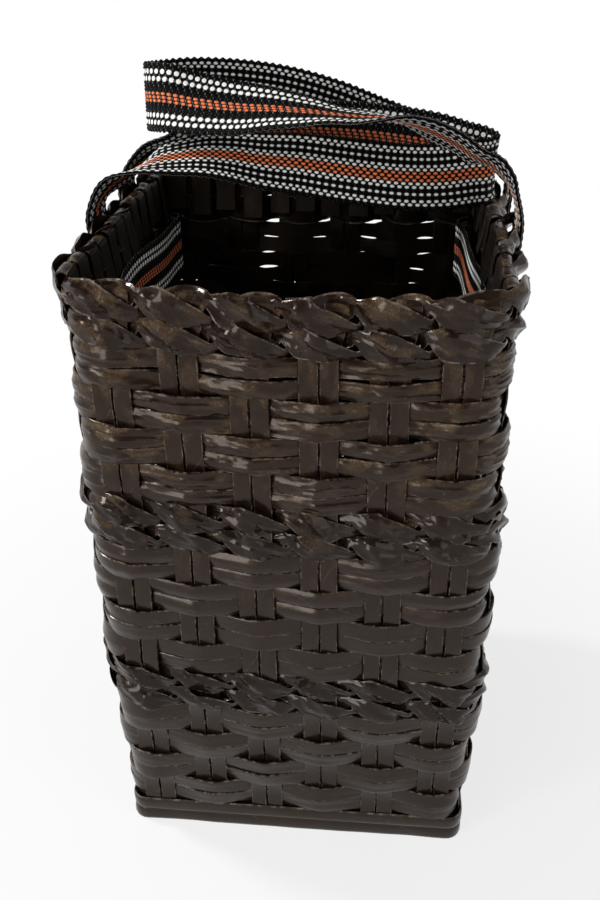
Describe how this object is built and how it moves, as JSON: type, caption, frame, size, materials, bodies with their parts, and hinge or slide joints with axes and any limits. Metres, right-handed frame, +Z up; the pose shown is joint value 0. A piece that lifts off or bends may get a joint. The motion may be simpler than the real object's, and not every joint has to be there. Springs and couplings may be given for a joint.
{
  "type": "woven lunch basket",
  "caption": "Tall square open basket woven from varnished flat paper strips, with twined bands, a folded rim and loops of striped webbing to carry it by.",
  "frame": {"origin": "middle of the underside of the bottom board, on the surface that the basket stands on", "axes": "+Z up; the front wall faces -Y; +X towards the wall that carries the right handle"},
  "size_m": [0.2488, 0.2396, 0.4661],
  "materials": {
    "paper_strip": "satin",
    "board": "matte",
    "webbing": "matte"
  },
  "bodies": {
    "basket": {"bottom_board": "board", "floor_board": "board", "base_band": "paper_strip", "stake_pair_front_1": "paper_strip", "stake_pair_front_2": "paper_strip", "stake_pair_front_3": "paper_strip", "stake_pair_front_4": "paper_strip", "stake_pair_front_5": "paper_strip", "stake_pair_front_6": "paper_strip", "stake_pair_right_1": "paper_strip", "stake_pair_right_2": "paper_strip", "stake_pair_right_3": "paper_strip", "stake_pair_right_4": "paper_strip", "stake_pair_right_5": "paper_strip", "stake_pair_right_6": "paper_strip", "stake_pair_back_1": "paper_strip", "stake_pair_back_2": "paper_strip", "stake_pair_back_3": "paper_strip", "stake_pair_back_4": "paper_strip", "stake_pair_back_5": "paper_strip", "stake_pair_back_6": "paper_strip", "stake_pair_left_1": "paper_strip", "stake_pair_left_2": "paper_strip", "stake_pair_left_3": "paper_strip", "stake_pair_left_4": "paper_strip", "stake_pair_left_5": "paper_strip", "stake_pair_left_6": "paper_strip", "weaver_01": "paper_strip", "weaver_02": "paper_strip", "weaver_03": "paper_strip", "weaver_04": "paper_strip", "weaver_05": "paper_strip", "weaver_06": "paper_strip", "weaver_07": "paper_strip", "weaver_08": "paper_strip", "weaver_09": "paper_strip", "weaver_10": "paper_strip", "weaver_11": "paper_strip", "weaver_12": "paper_strip", "twine_low_1a": "paper_strip", "twine_low_1b": "paper_strip", "twine_low_2a": "paper_strip", "twine_low_2b": "paper_strip", "twine_mid_1a": "paper_strip", "twine_mid_1b": "paper_strip", "twine_mid_2a": "paper_strip", "twine_mid_2b": "paper_strip", "twine_rim_1a": "paper_strip", "twine_rim_1b": "paper_strip", "twine_rim_2a": "paper_strip", "twine_rim_2b": "paper_strip", "left_strap_anchor": "webbing", "right_strap_anchor": "webbing"},
    "left_handle_loop": {"left_handle": "webbing"},
    "right_handle_loop": {"right_handle": "webbing"}
  },
  "joints": [
    {"name": "right_handle_swing", "type": "hinge", "parent": "basket", "child": "right_handle_loop", "pos_m": [0.12439, 0.036, 0.37294], "axis": [0, 1, 0], "range_deg": [0, 180]},
    {"name": "left_handle_swing", "type": "hinge", "parent": "basket", "child": "left_handle_loop", "pos_m": [-0.12439, 0.036, 0.37294], "axis": [0, -1, 0], "range_deg": [0, 90]}
  ],
  "couplings": [
    {"joint": "left_handle_swing", "follows": "right_handle_swing", "ratio": 0.5}
  ]
}
